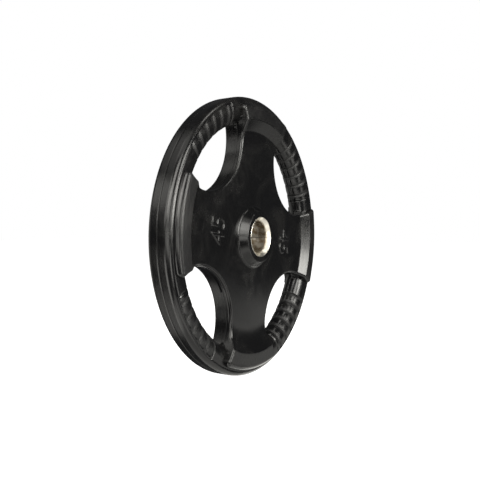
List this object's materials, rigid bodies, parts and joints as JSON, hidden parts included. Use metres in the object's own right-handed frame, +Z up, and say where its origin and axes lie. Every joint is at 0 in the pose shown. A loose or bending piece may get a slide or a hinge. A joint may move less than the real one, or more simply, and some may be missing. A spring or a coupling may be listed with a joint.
{
  "type": "rubber coated weight plate",
  "caption": "Round barbell weight plate with a flared steel bore, a raised hub, rubber covers and hand grips moulded into its rim.",
  "frame": {"origin": "on the bore's axis, midway between the front face and the rear face", "axes": "+Y along the bore, from the front face with the raised pads to the rear face; +Z up, with the plate upright as on a bar"},
  "size_m": [0.4448, 0.0484, 0.4448],
  "materials": {
    "black_rubber": "satin moulded rubber with a fine grain on the pads",
    "cast_iron": "rough casting, hidden inside the covers",
    "bare_steel": "rolled and flared bare steel"
  },
  "bodies": {
    "root": {"front_cover": "black_rubber", "rear_cover": "black_rubber", "iron_core": "cast_iron", "steel_sleeve": "bare_steel"}
  },
  "joints": []
}
